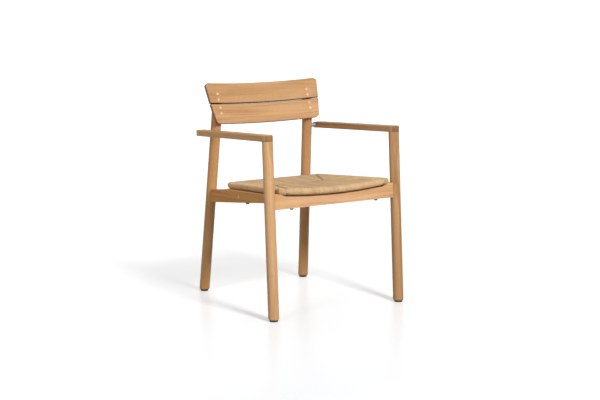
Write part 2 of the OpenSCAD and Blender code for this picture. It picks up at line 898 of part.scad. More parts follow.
// Centre line of a side bar at its front and back shoulders
bar_line_in = cord_side / cos(seat_taper) + bar_w / 2 / cos(seat_taper);

module on_side_bar() {
    on_seat() translate([seat_w(front_bar_v) - bar_line_in, front_bar_v, cord_t + bar_h / 2])
        rotate([-90, 0, seat_taper]) children();
}

side_bar_l = (back_bar_v - front_bar_v) / cos(seat_taper);

module seat_bar_tenons() {
    both_sides() on_side_bar() translate([0, 0, -bar_tenon_l])
        cylinder(d = bar_tenon_d, h = side_bar_l + 2 * bar_tenon_l);
}

module seat_side_bar_plan() {
    in_front = seat_w(front_bar_v) - cord_side / cos(seat_taper);
    in_back = seat_w(back_bar_v) - cord_side / cos(seat_taper);
    wide = bar_w / cos(seat_taper);
    polygon([
        [in_front - wide, front_bar_v], [in_front, front_bar_v],
        [in_back, back_bar_v], [in_back - wide, back_bar_v]
    ]);
}

module seat_bar_side(side) {
    color(teak) one_side(side) {
        side_bar_block();
        on_side_bar() {
            translate([0, 0, -bar_tenon_l]) cylinder(d = bar_tenon_d, h = bar_tenon_l);
            translate([0, 0, side_bar_l]) cylinder(d = bar_tenon_d, h = bar_tenon_l);
        }
    }
}

// Places of the seat screws: across the chair, and in depth along the seat
fix_x = seat_back_w - seat_screw_in;
front_fix_v = cleat_mid_v;
back_fix_v = seat_v(cross_back_y);

// Woven body: rings of points run from the underside, round the edge, over the top
corner_n = 5;
edge_n = 6;

// One closed outline of the seat, drawn in by an inset
function seat_ring(inset, r) = let(
    f = seat_w(inset) - inset,
    b = seat_w(seat_l - inset) - inset,
    c = rounded(
        [[-f, inset], [f, inset], [b, seat_l - inset], [-b, seat_l - inset]],
        [r, r, r, r], corner_n
    ),
    n = corner_n + 1
) [for (k = [0 : 3]) each concat(
    [for (i = [0 : corner_n]) c[k * n + i]],
    [for (i = [1 : edge_n]) let(
        p = c[k * n + corner_n],
        q = c[((k + 1) % 4) * n]
    ) p + (q - p) * i / (edge_n + 1)]
)];

ring_n = 4 * (corner_n + 1 + edge_n);
// Insets of the rings over the soft edge and in towards the middle
edge_r = seat_t / 2;
arc_n = 6;
inner_insets = seat_l * [0.055, 0.103, 0.172, 0.255, 0.35];
function sag(inset) = -seat_sag * ease((inset - edge_r) / (inner_insets[4] - edge_r));

// Rings as inset and height, from the underside middle to the top middle
ring_spec = concat(
    [for (i = [4 : -1 : 0]) [inner_insets[i], 0]],
    [for (i = [0 : 2 * arc_n]) let(a = -90 + 90 * i / arc_n)
        [edge_r * (1 - cos(a)), edge_r + edge_r * sin(a)]],
    [for (i = [0 : 4]) [inner_insets[i], seat_t + sag(inner_insets[i])]]
);

seat_points = concat(
    [for (spec = ring_spec)
        let(ring = seat_ring(spec[0], max(2, seat_corner - spec[0])))
        for (p = ring) [p[0], p[1], spec[1] + dip(p[0], p[1])]],
    [[0, seat_l / 2, dip(0, seat_l / 2)],
     [0, seat_l / 2, seat_t - seat_sag + dip(0, seat_l / 2)]]
);
ring_count = len(ring_spec);
seat_faces = concat(
    [for (k = [0 : ring_count - 2], i = [0 : ring_n - 1]) let(
        j = (i + 1) % ring_n
    ) each [
        [k * ring_n + i, (k + 1) * ring_n + i, (k + 1) * ring_n + j],
        [k * ring_n + i, (k + 1) * ring_n + j, k * ring_n + j]
    ]],
    [for (i = [0 : ring_n - 1]) [ring_count * ring_n, i, (i + 1) % ring_n]],
    [for (i = [0 : ring_n - 1]) let(base = (ring_count - 1) * ring_n)
        [ring_count * ring_n + 1, base + (i + 1) % ring_n, base + i]]
);

module seat_weave() {
    color(cord) difference() {
        on_seat() polyhedron(seat_points, seat_faces, convexity = 4);
        bar_space();
        seat_fixings();
    }
}

// Room that the four bars take inside the woven body
module bar_space() {
    front_bar_block();
    back_bar_block();
    both_sides() side_bar_block();
}

// Screws from below, through cleat or back cross rail, into the front and back seat bars
module seat_fixings() {
    for (x = [-fix_x, fix_x]) {
        seat_fixing(x, front_fix_v, cleat_h - head_set_in);
        seat_fixing(x, back_fix_v, cross_h - head_set_in);
    }
}

module seat_fixing(x, v, below) {
    on_seat() translate([x, v, dip(x, v) - below]) screw(below + cord_t + bar_h - tip_cover);
}

// Counterbore that opens below the head of a seat screw
module seat_counterbore(x, v, below) {
    deep = 2 * head_set_in + seat_dip;
    on_seat() translate([x, v, dip(x, v) - below - deep]) cylinder(d = head_d, h = deep + eps);
}

module seat_counterbores() {
    for (x = [-fix_x, fix_x]) {
        seat_counterbore(x, front_fix_v, cleat_h - head_set_in);
        seat_counterbore(x, back_fix_v, cross_h - head_set_in);
    }
}

module seat_screws() {
    color(steel) seat_fixings();
}

// Fasteners and small parts

module slat_plugs() {
    color(plug_wood) for (side = [-1, 1], v = [-screw_out, -screw_in, screw_in, screw_out])
        at_slat_screw(side, v) cylinder(d = plug_d, h = plug_l);
}

module slat_screws() {
    color(steel) for (side = [-1, 1], v = [-screw_out, -screw_in, screw_in, screw_out])
        at_slat_screw(side, v) translate([0, 0, plug_l]) screw(slat_t - plug_l + grip);
}

module arm_plugs() {
    color(plug_wood) both_sides() intersection() {
        arm_plug_round();
        arm_bar();
    }
}

module arm_screws() {
    color(steel) both_sides() arm_screw();
}

module rail_plugs() {
    color(plug_wood) both_sides() at_cross_screw() cylinder(d = plug_d, h = plug_l);
}

module cleat_screws() {
    color(steel) cleat_fixings();
}

module rail_screws() {
    color(steel) both_sides() at_cross_screw() translate([0, 0, plug_l]) screw(rail_t - plug_l + grip);
}

module arm_dowels() {
    color(plug_wood) both_sides() arm_dowel();
}

module rail_dowels() {
    color(plug_wood) both_sides() cross_dowels();
}

module bumpers_front() {
    color(black) for (x = [-bumper_x, bumper_x]) front_bumper(x);
}

module bumpers_side() {
    color(black) both_sides() side_bumper();
}

module glide_at(x, y) {
    color(black) translate([x, y, 0]) glide();
}

leg_front(-1);  // leg_front_left
leg_front(1);  // leg_front_right
post_back(-1);  // post_back_left
post_back(1);  // post_back_right
rail_front();
rail_side(-1);  // rail_left
rail_side(1);  // rail_right
rail_cross_middle();
rail_cross_back();
rail_cleat();
arm(-1);  // arm_left
arm(1);  // arm_right
slat_upper();
slat_lower();
arm_spacer(-1);  // arm_spacer_left
arm_spacer(1);  // arm_spacer_right
seat_bar_front();
seat_bar_back();
seat_bar_side(-1);  // seat_bar_left
seat_bar_side(1);  // seat_bar_right
seat_weave();
slat_plugs();
arm_plugs();
rail_plugs();
slat_screws();
arm_screws();
rail_screws();
cleat_screws();
seat_screws();
arm_dowels();
rail_dowels();
glide_at(-front_half_w, -foot_y);  // glide_front_left
glide_at(front_half_w, -foot_y);  // glide_front_right
glide_at(-back_half_w, foot_y);  // glide_back_left
glide_at(back_half_w, foot_y);  // glide_back_right
bumpers_front();
bumpers_side();
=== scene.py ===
"""Teak armchair with a woven cord seat: its cord, wood, steel and studio. Lengths in metres."""
import math

import bpy
import numpy as np
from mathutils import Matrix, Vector


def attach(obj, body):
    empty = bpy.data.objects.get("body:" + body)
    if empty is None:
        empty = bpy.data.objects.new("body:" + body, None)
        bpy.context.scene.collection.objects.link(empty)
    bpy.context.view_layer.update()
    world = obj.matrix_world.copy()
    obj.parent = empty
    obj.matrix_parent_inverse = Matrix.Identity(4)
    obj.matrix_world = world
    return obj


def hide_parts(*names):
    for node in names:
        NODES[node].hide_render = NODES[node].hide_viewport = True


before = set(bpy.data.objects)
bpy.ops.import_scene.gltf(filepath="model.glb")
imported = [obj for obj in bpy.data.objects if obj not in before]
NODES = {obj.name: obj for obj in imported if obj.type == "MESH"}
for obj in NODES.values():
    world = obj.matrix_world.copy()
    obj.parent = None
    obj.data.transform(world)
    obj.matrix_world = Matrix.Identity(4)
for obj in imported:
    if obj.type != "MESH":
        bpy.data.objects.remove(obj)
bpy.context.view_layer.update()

# Sizes of the seat; the seat's own plane falls towards the back
SEAT_FRONT_HALF = 0.238
SEAT_BACK_HALF = 0.2061
SEAT_DEPTH = 0.4105
SEAT_FRONT_Y = -0.2675
SEAT_LOW_Z = 0.436
SEAT_FALL = math.radians(4.3)
SEAT_THICK = 0.024
SEAT_CORNER = 0.014
FRONT_DIP = 0.0135
MIDDLE_SAG = 0.007
SAG_FROM = 0.012
SAG_TO = 0.1437
CORD_RADIUS = 0.0016
CORD_PITCH = 0.0033
CORD_SIDES = 6
# Points round the edge of the seat, and the length of a step along its flats
EDGE_TURNS = 7
FLAT_STEP = 0.011
# Where a strand dives under the next field: how far on, and how deep
DIVE = ((0.0015, 0.0018), (0.0035, 0.0045))
# Painted shade added to the strands on the rounding of the end edges
END_EDGE_SHADE = 0.7
# Length of one turn of the cord's lay
LAY_LENGTH = 0.0052
# Each mitre line starts on an end edge, at this distance from the middle line
FRONT_MITRE_X = 0.210
BACK_MITRE_X = 0.184
# Inward run of the mitre lines for each metre of depth
MITRE_RUN = 0.45
MITRE_VALLEY = 0.0055
VALLEY_REACH = 0.010

# Plane in the gap between the two slats: its normal and its distance from the origin
SLAT_NORMAL = Vector((0.0, math.sin(math.radians(21.6)), math.cos(math.radians(21.6))))
SLAT_GAP = (SLAT_NORMAL, SLAT_NORMAL.dot(Vector((0.0, 0.2155, 0.706))))

# Camera
CAMERA_AZIMUTH = math.radians(-33.97)
CAMERA_ELEVATION = math.radians(9.10)
CAMERA_DISTANCE = 5.270
CAMERA_TARGET = Vector((0.0242, 0.0, 0.3605))
CAMERA_LENS = 85.92
BACKDROP_RADIUS = 40.0

# Main lamp: a round soft box in front of the chair
KEY_AT = Vector((-0.03, -3.9, 2.6))
KEY_AIM = (Vector((0.0, 0.0, 0.45)) - KEY_AT).normalized()
KEY_WATTS = 160.0
KEY_WIDTH = 1.0
FLOOR_SHADE = (0.83, 0.85, 0.875)
# Light that the floor gives off where the main lamp adds none
FLOOR_GLOW = 0.60
WORLD_LIGHT = 0.30
WORLD_SHADE = (1.0, 0.965, 0.92)
# Lower and upper edge of the wall round the floor
WALL_HEIGHTS = (-0.2, 13.3)


# Shader maths

class Sock:
    """A node socket that turns Python arithmetic into Math nodes."""

    def __init__(self, tree, socket):
        self.tree = tree
        self.socket = socket

    def math(self, operation, *others):
        return self.tree.node("ShaderNodeMath", {"operation": operation}, self, *others)

    def __add__(self, other):
        return self.math("ADD", other)

    def __radd__(self, other):
        return self.math("ADD", other)

    def __sub__(self, other):
        return self.math("SUBTRACT", other)

    def __rsub__(self, other):
        return self.tree.node("ShaderNodeMath", {"operation": "SUBTRACT"}, other, self)

    def __mul__(self, other):
        return self.math("MULTIPLY", other)

    def __truediv__(self, other):
        return self.math("DIVIDE", other)


class Shader:
    """A material under construction."""

    def __init__(self, name):
        self.material = bpy.data.materials.new(name)
        self.material.use_nodes = True
        self.nodes = self.material.node_tree.nodes
        self.links = self.material.node_tree.links
        self.surface = self.nodes["Principled BSDF"]

    def node(self, kind, settings=None, *values, out=0, **named):
        """Adds a node: settings first, then its inputs by place or by name."""
        made = self.nodes.new(kind)
        for key, value in (settings or {}).items():
            setattr(made, key, value)
        for key, value in [*enumerate(values), *named.items()]:
            socket = made.inputs[key.replace("_", " ") if isinstance(key, str) else key]
            self.put(socket, value)
        return Sock(self, made.outputs[out])

    def put(self, socket, value):
        if isinstance(value, Sock):
            self.links.new(value.socket, socket)
        else:
            socket.default_value = value

    def mix(self, factor, low, high):
        """Colour mix of low and high."""
        made = self.nodes.new("ShaderNodeMix")
        made.data_type = "RGBA"
        for place, value in ((0, factor), (6, low), (7, high)):
            if not isinstance(value, Sock) and place > 0:
                value = (*value, 1.0)
            self.put(made.inputs[place], value)
        return Sock(self, made.outputs[2])

    def dot(self, vector, axis):
        return self.node(
            "ShaderNodeVectorMath", {"operation": "DOT_PRODUCT"}, vector, tuple(axis), out=1)

    def join(self, x, y, z):
        return self.node("ShaderNodeCombineXYZ", None, x, y, z)

    def step(self, value, low, high):
        """Smooth step from 0 below low to 1 above high."""
        return self.node(
            "ShaderNodeMapRange", {"interpolation_type": "SMOOTHSTEP"},
            value, low, high, 0.0, 1.0)

    def noise(self, vector, scale, detail=2.0, roughness=0.5):
        return self.node(
            "ShaderNodeTexNoise", None,
            Vector=vector, Scale=scale, Detail=detail, Roughness=roughness)

    def finish(self, colour, roughness, height=None, strength=0.2, distance=0.001):
        self.put(self.surface.inputs["Base Color"], colour)
        self.put(self.surface.inputs["Roughness"], roughness)
        if height is not None:
            bump = self.node(
                "ShaderNodeBump", None,
                Strength=strength, Distance=distance, Height=height)
            self.put(self.surface.inputs["Normal"], bump)
        return self.material


# Wood

TEAK_LIGHT = (0.660, 0.375, 0.170)
TEAK_BAND = (0.430, 0.215, 0.080)
TEAK_PORE = (0.240, 0.110, 0.040)
TEAK_ROSE = (0.720, 0.420, 0.250)
TEAK_END = (0.200, 0.105, 0.050)
# Colour of the painted shade in the gap between the slats
GAP_PAINTED_SHADE = (0.075, 0.036, 0.015)
# Contrast of the rings, round the mean of their pattern
MEAN_PATTERN = 0.355
FIGURE = 1.3
STRONG_FIGURE = {"leg_front_right": 2.2}
# Height up to which the front legs get painted shade that deepens downwards, and how strong it is
# at the floor
LOW_SHADE_HEIGHT = 0.42
LOW_SHADE = 0.36
# Painted shade along the gap between the slats: half widths of its dark core, and of its fading
# edge
GAP_SHADE_NEAR = 0.0022
GAP_SHADE_FAR = 0.0046
GAP_SHADE_SHARE = 0.92
EASED_EDGE = 0.0012
WELD_REACH = 0.00001


def across(grain):
    """Two directions square to the grain."""
    side = grain.cross(Vector((0, 0, 1)))
    if side.length < 0.3:
        side = grain.cross(Vector((0, 1, 0)))
    side.normalize()
    return side, grain.cross(side).normalized()


def shade(colour, tone, warm):
    """Wood colour of one board: tone is its lightness, warm takes blue and green out."""
    red, green, blue = colour
    return (min(1.0, red * tone), green * tone * (1 - 0.10 * warm), blue * tone * (1 - 0.32 * warm))


def teak(name, grain, pith, tone, warm, figure, gap_shade=None, shaded_low=False):
    """Teak whose fibres run along grain; pith is where the tree's heart lies across it.

    figure is the contrast of its rings. The gap plane, as normal and place, is where painted
    shade darkens the wood beside it. A front leg can also get painted shade that deepens downwards.
    """
    grain = Vector(grain).normalized()
    side, up = across(grain)
    s = Shader(name)
    place = s.node("ShaderNodeTexCoord", out=3)
    a, b, c = s.dot(place, side), s.dot(place, up), s.dot(place, grain)
    # Slow drift of the rings along the board
    drift = s.noise(s.join(a * 7.0, b * 7.0, c * 2.2), 1.0, 3.0)
    da, db = a - pith[0], b - pith[1]
    reach = (da * da + db * db).math("SQRT") + (drift - 0.5) * 0.040
    ring_noise = s.noise(s.join(reach * 115.0, c * 1.4, 0.0), 1.0, 2.0, 0.6)
    rings = s.step(ring_noise, 0.38, 0.72)
    broad = s.noise(s.join(a * 30.0, b * 30.0, c * 2.6), 1.0, 3.0)
    hue = s.step(s.noise(s.join(a * 6.0, b * 6.0, c * 3.4), 1.0, 2.0), 0.42, 0.62)
    fibre = s.noise(s.join(a * 850.0, b * 850.0, c * 22.0), 1.0, 3.0, 0.65)
    pores = s.step(s.noise(s.join(a * 1500.0, b * 1500.0, c * 60.0), 1.0, 1.0), 0.60, 0.72)
    # End grain shows where the surface is square to the fibres
    facing = s.dot(s.node("ShaderNodeTexCoord", out=1), grain).math("ABSOLUTE")
    end = s.step(facing, 0.33, 0.75)
    light = shade(TEAK_LIGHT, tone, warm)
    band = shade(TEAK_BAND, tone, warm)
    pore = shade(TEAK_PORE, tone, warm)
    cut = shade(TEAK_END, tone, warm)
    colour = s.mix(hue * 0.45, light, shade(TEAK_ROSE, tone, warm))
    pattern = rings * 0.55 + (broad - 0.44) * 1.35
    colour = s.mix((pattern - MEAN_PATTERN) * figure + MEAN_PATTERN, colour, band)
    colour = s.mix((fibre - 0.5) * 0.6 + 0.10, colour, band)
    colour = s.mix(pores * 0.40, colour, pore)
    speck = s.noise(s.join(a * 900.0, b * 900.0, c * 900.0), 1.0, 2.0)
    end_colour = s.mix(speck * 0.6, tuple(min(1.0, v * 1.3) for v in cut), cut)
    colour = s.mix(end * 0.8, colour, end_colour)
    # Painted shade: the leg darkens towards the floor
    if shaded_low:
        low = 1 - s.step(s.dot(place, (0, 0, 1)), 0.0, LOW_SHADE_HEIGHT)
        colour = s.mix(low * LOW_SHADE, colour, band)
    # Painted shade beside the gap between the slats
    if gap_shade:
        normal, at = gap_shade
        away = (s.dot(place, normal) - at).math("ABSOLUTE")
        near = GAP_SHADE_SHARE - s.step(away, GAP_SHADE_NEAR, GAP_SHADE_FAR) * GAP_SHADE_SHARE
        colour = s.mix(near, colour, GAP_PAINTED_SHADE)
    rough = 0.50 + (fibre - 0.5) * 0.18 + pores * 0.12 + end * 0.12
    height = fibre * 0.5 - pores * 0.8
    s.surface.inputs["Specular IOR Level"].default_value = 0.30
    return s.finish(colour, rough, height, 0.22, 0.0004)


def plug_wood():
    """End of a wooden plug: lighter, with its own small rings."""
    s = Shader("plug_end_grain")
    place = s.node("ShaderNodeTexCoord", out=3)
    speck = s.noise(place, 900.0, 2.0)
    each = s.step(s.noise(place, 21.0, 0.0), 0.42, 0.60)
    colour = s.mix(speck * 0.4 + each * 0.5, (0.80, 0.55, 0.31), (0.62, 0.38, 0.19))
    return s.finish(colour, 0.55 + speck * 0.1, speck, 0.2, 0.0003)


# Metal, plastic and rubber

def brushed_steel():
    """Steel with painted reflections: dark bands painted on faces that look towards the ceiling and
    the floor.
    """
    s = Shader("brushed_steel")
    place = s.node("ShaderNodeTexCoord", out=3)
    a, b, c = (s.dot(place, axis) for axis in ((1, 0, 0), (0, 1, 0), (0, 0, 1)))
    lines = s.noise(s.join(a * 2600.0, b * 90.0, c * 90.0), 1.0, 2.0)
    steep = s.dot(s.node("ShaderNodeTexCoord", out=1), (0, 0, 1)).math("ABSOLUTE")
    s.surface.inputs["Metallic"].default_value = 0.85
    colour = s.mix(lines, (0.74, 0.73, 0.72), (0.88, 0.87, 0.86))
    # Painted reflection: faces that look up and down are painted dark
    colour = s.mix(s.step(steep, 0.55, 0.95) * 0.88, colour, (0.10, 0.09, 0.08))
    return s.finish(colour, 0.26 + lines * 0.16, lines, 0.08, 0.0002)


def dark_plastic(name, colour, roughness):
    s = Shader(name)
    place = s.node("ShaderNodeTexCoord", out=3)
    grain = s.noise(place, 1400.0, 2.0)
    dust = s.noise(place, 60.0, 3.0)
    lighter = tuple(v * 1.9 + 0.01 for v in colour)
    worn = s.mix(dust * 0.6, colour, lighter)
    return s.finish(worn, roughness + dust * 0.12, grain, 0.15, 0.0003)


# Cord

def twisted_cord():
    """Two-ply cord: the lay runs round each strand as a fine slanted groove."""
    s = Shader("twisted_cord")
    along = s.node("ShaderNodeAttribute", {"attribute_name": "along"}, out=2)
    around = s.node("ShaderNodeAttribute", {"attribute_name": "around"}, out=2)
    strand = s.node("ShaderNodeAttribute", {"attribute_name": "strand"}, out=2)
    place = s.node("ShaderNodeTexCoord", out=3)
    turn = ((along / LAY_LENGTH + around * 2.0) * math.pi).math("SINE").math("ABSOLUTE")
    fuzz = s.noise(place, 1300.0, 3.0)
    cloud = s.noise(place, 14.0, 3.0)
    groove = s.step(turn, 0.0, 0.42)
    # The strand attribute holds each strand's random tone and its painted shading
    base = s.mix(cloud * 0.15 + strand * 0.80, (0.830, 0.585, 0.345), (0.555, 0.368, 0.192))
    base = s.mix((fuzz - 0.35) * 0.45, base, (0.88, 0.68, 0.44))
    # Painted shade in the groove of the lay
    colour = s.mix(groove, (0.46, 0.30, 0.15), base)
    # Painted shade in the valley of each mitre, where every strand starts
    colour = s.mix((1 - s.step(along, 0.008, 0.024)) * 0.88, colour, (0.19, 0.115, 0.055))
    s.surface.inputs["Specular IOR Level"].default_value = 0.08
    return s.finish(colour, 0.78 + fuzz * 0.12, groove * 0.7 + fuzz * 0.3, 0.5, 0.0005)


def half_width(v):
    return SEAT_FRONT_HALF - (SEAT_FRONT_HALF - SEAT_BACK_HALF) * v / SEAT_DEPTH


def ease(t):
    t = min(1.0, max(0.0, t))
    return t * t * (3 - 2 * t)


def dip(x, v):
    """Dip of the seat behind its curved front bar."""
    across_share = 1 - min(1.0, abs(x) / half_width(v)) ** 2
    return -FRONT_DIP * across_share * max(0.0, 1 - v / SEAT_DEPTH) ** 1.5


def seat_point(x, v, height):
    """Point of the chair frame for a place on the seat and a height above its low plane."""
    return (
        x,
        SEAT_FRONT_Y + v * math.cos(SEAT_FALL) + height * math.sin(SEAT_FALL),
        SEAT_LOW_Z - v * math.sin(SEAT_FALL) + height * math.cos(SEAT_FALL),
    )


def top_height(x, v):
    inset = min(v, SEAT_DEPTH - v, half_width(v) - abs(x))
    sag = MIDDLE_SAG * ease((inset - SAG_FROM) / (SAG_TO - SAG_FROM))
    return SEAT_THICK - sag + dip(x, v)


def corner_inset(beside):
    """How far a rounded corner has drawn an edge in, at a distance beside the corner."""
    if beside >= SEAT_CORNER:
        return 0.0
    return SEAT_CORNER - math.sqrt(SEAT_CORNER ** 2 - (SEAT_CORNER - beside) ** 2)


def wrapped_strand(at, edge, mitre, drop=0.0):
    """One strand from its mitre over the top, round the edge and back below.

    at gives (x, v) for a distance inward from the outline. The rounded edge
    starts at edge and the strand dives under the next field at mitre. drop
    thins the seat where the strand lies on the rounding of another edge.
    """
    half = SEAT_THICK / 2
    bend = half - drop - CORD_RADIUS
    shoulder = edge + half
    last = max(mitre, shoulder + 0.003)
    steps = max(2, round((last - shoulder) / FLAT_STEP))

    def valley(d):
        near = max(0.0, 1 - (last - d) / VALLEY_REACH)
        return MITRE_VALLEY * near * near

    def place(d, height):
        x, v = at(d)
        return (x, v, height(x, v))

    def above(d, sunk=0.0):
        return place(d, lambda x, v: top_height(x, v) - drop - CORD_RADIUS - valley(d) - sunk)

    def below(d, raised=0.0):
        return place(d, lambda x, v: CORD_RADIUS + drop + dip(x, v) + raised)

    flat = [shoulder + (last - shoulder) * i / steps for i in range(steps + 1)]
    points = [above(last + on, deep) for on, deep in reversed(DIVE)]
    points += [above(d) for d in reversed(flat)]
    for i in range(1, EDGE_TURNS):
        angle = math.pi / 2 - math.pi * i / EDGE_TURNS
        out = shoulder - bend * math.cos(angle) - drop * 0.5
        points.append(place(out, lambda x, v: half + dip(x, v) + bend * math.sin(angle)))
    points += [below(d) for d in flat]
    points += [below(last + on, deep) for on, deep in DIVE]
    return points


def end_strands(half_span, towards):
    """Strands of the front field, where towards is 1, or of the back one, where it is -1."""
    edge_v = 0.0 if towards > 0 else SEAT_DEPTH
    far = abs(fields_meet_v() - edge_v)
    count = int(2 * half_span / CORD_PITCH)
    for i in range(count + 1):
        x = (i - count / 2) * CORD_PITCH
        deep = (half_span - abs(x)) / MITRE_RUN
        strand = wrapped_strand(lambda d, x=x: (x, edge_v + towards * d), 0.0, min(deep, far))
        yield strand, 0.0


def side_strand_places():
    """Depth and drop of each side strand; they also climb the rounding of both end edges."""
    half = SEAT_THICK / 2
    bend = half - CORD_RADIUS
    climbing = round(math.pi / 2 * half / CORD_PITCH)
    for i in range(climbing):
        angle = math.pi / 2 * (i + 0.5) / climbing
        inset, drop = half - bend * math.cos(angle), bend * (1 - math.sin(angle))
        yield inset, drop
        yield SEAT_DEPTH - inset, drop
    count = round((SEAT_DEPTH - SEAT_THICK) / CORD_PITCH)
    for i in range(count + 1):
        yield half + (SEAT_DEPTH - SEAT_THICK) * i / count, 0.0


def side_strands(side, painted_shading):
    """Strands of a side field, each with its painted shading; those on the end edges get more
    painted shade.
    """
    for v, drop in side_strand_places():
        wide = half_width(v)
        inner = max(FRONT_MITRE_X - v * MITRE_RUN, BACK_MITRE_X - (SEAT_DEPTH - v) * MITRE_RUN)
        strand = wrapped_strand(
            lambda d, v=v, wide=wide: (side * (wide - d), v),
            corner_inset(min(v, SEAT_DEPTH - v)), wide - inner, drop)
        yield strand, painted_shading + (END_EDGE_SHADE if drop else 0.0)


def fields_meet_v():
    """Depth at which the front and back fields meet, at the point of each side field."""
    return (FRONT_MITRE_X - BACK_MITRE_X) / (2 * MITRE_RUN) + SEAT_DEPTH / 2


def cord_tree():
    """Geometry Nodes that lay a round cord along every edge path."""
    tree = bpy.data.node_groups.new("lay_cord", "GeometryNodeTree")
    face = tree.interface
    face.new_socket("Geometry", in_out="INPUT", socket_type="NodeSocketGeometry")
    for name, kind in (("Cord radius", "NodeSocketFloat"), ("Cord sides", "NodeSocketInt"),
                       ("Cord material", "NodeSocketMaterial")):
        face.new_socket(name, in_out="INPUT", socket_type=kind)
    face.new_socket("Geometry", in_out="OUTPUT", socket_type="NodeSocketGeometry")

    def add(kind, **settings):
        node = tree.nodes.new(kind)
        for key, value in settings.items():
            setattr(node, key, value)
        return node

    def link(source, out, target, into):
        tree.links.new(source.outputs[out], target.inputs[into])

    given = add("NodeGroupInput")
    path = add("GeometryNodeMeshToCurve")
    place = add("GeometryNodeSplineParameter")
    keep_along = add("GeometryNodeStoreNamedAttribute", data_type="FLOAT", domain="POINT")
    keep_along.inputs["Name"].default_value = "along"
    section = add("GeometryNodeCurvePrimitiveCircle")
    section_place = add("GeometryNodeSplineParameter")
    keep_around = add("GeometryNodeStoreNamedAttribute", data_type="FLOAT", domain="POINT")
    keep_around.inputs["Name"].default_value = "around"
    sweep = add("GeometryNodeCurveToMesh")
    sweep.inputs["Fill Caps"].default_value = True
    smooth = add("GeometryNodeSetShadeSmooth")
    real = add("GeometryNodeRealizeInstances")
    paint = add("GeometryNodeSetMaterial")
    result = add("NodeGroupOutput")

    link(given, "Geometry", path, "Mesh")
    link(path, "Curve", keep_along, "Geometry")
    link(place, "Length", keep_along, "Value")
    link(given, "Cord radius", section, "Radius")
    link(given, "Cord sides", section, "Resolution")
    link(section, "Curve", keep_around, "Geometry")
    link(section_place, "Factor", keep_around, "Value")
    link(keep_along, "Geometry", sweep, "Curve")
    link(keep_around, "Geometry", sweep, "Profile Curve")
    link(sweep, "Mesh", smooth, "Geometry")
    link(smooth, "Geometry", real, "Geometry")
    link(real, "Geometry", paint, "Geometry")
    link(given, "Cord material", paint, "Material")
    link(paint, "Geometry", result, "Geometry")
    return tree


def set_input(modifier, name, value):
    """Sets a Geometry Nodes input by the identifier of its socket."""
    for item in modifier.node_group.interface.items_tree:
        if item.in_out == "INPUT" and item.name == name:
            modifier[item.identifier] = value


def plain_mesh(source, name):
    """New object with the evaluated mesh of source, which is then removed."""
    graph = bpy.context.evaluated_depsgraph_get()
    mesh = bpy.data.meshes.new_from_object(source.evaluated_get(graph))
    mesh.name = name
    bpy.data.objects.remove(source)
    made = bpy.data.objects.new(name, mesh)
    bpy.context.scene.collection.objects.link(made)
    return made


def woven_field(name, strands, tree, material):
    """One field of the woven seat, as strands of cord side by side, each with a random tone plus
    its painted shading.
    """
    points, edges, shades = [], [], []
    random = np.random.default_rng(len(name))
    left_in_bundle, bundle_shade = 0, 0.0
    for strand, painted_shading in strands:
        if left_in_bundle == 0:
            left_in_bundle, bundle_shade = int(random.integers(2, 6)), float(random.random())
        left_in_bundle -= 1
        # Random tone of the bundle and of the strand, on top of the painted shading
        shade = painted_shading + 0.65 * bundle_shade + 0.35 * float(random.random())
        first = len(points)
        points += [seat_point(*p) for p in strand]
        shades += [shade] * len(strand)
        edges += [(i, i + 1) for i in range(first, len(points) - 1)]
    mesh = bpy.data.meshes.new(name + "_paths")
    mesh.from_pydata(points, edges, [])
    mesh.attributes.new("strand", "FLOAT", "POINT").data.foreach_set("value", shades)
    paths = bpy.data.objects.new(name + "_paths", mesh)
    bpy.context.scene.collection.objects.link(paths)
    modifier = paths.modifiers.new("cord", "NODES")
    modifier.node_group = tree
    set_input(modifier, "Cord radius", CORD_RADIUS)
    set_input(modifier, "Cord sides", CORD_SIDES)
    set_input(modifier, "Cord material", material)
    bpy.context.view_layer.update()
    return plain_mesh(paths, name)


def woven_seat():
    material = twisted_cord()
    tree = cord_tree()
    fields = {
        "seat_cord_front": end_strands(FRONT_MITRE_X, 1),
        "seat_cord_back": end_strands(BACK_MITRE_X, -1),
        # Painted light and shade: the left field is painted lighter and the right field in a deeper
        # tone
        "seat_cord_left": side_strands(-1, -0.40),
        "seat_cord_right": side_strands(1, 0.35),
    }
    for name, strands in fields.items():
        field = woven_field(name, strands, tree, material)
        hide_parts("seat_weave")
        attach(field, "root")


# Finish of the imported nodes

def lean(degrees_back, degrees_in=0.0):
    """Direction of a post that leans back and inwards."""
    return Vector((
        -math.sin(math.radians(degrees_in)),
        math.sin(math.radians(degrees_back)),
        math.cos(math.radians(degrees_back)),
    ))


def paint(node, material):
    NODES[node].data.materials.clear()
    NODES[node].data.materials.append(material)


def ease_edges(node):
    """Softens the sharp edges of a wooden piece."""
    piece = NODES[node]
    weld = piece.modifiers.new("merge", "WELD")
    weld.merge_threshold = WELD_REACH
    bevel = piece.modifiers.new("eased_edge", "BEVEL")
    bevel.width = EASED_EDGE
    bevel.segments = 2
    bevel.limit_method = "ANGLE"
    bevel.angle_limit = math.radians(38)


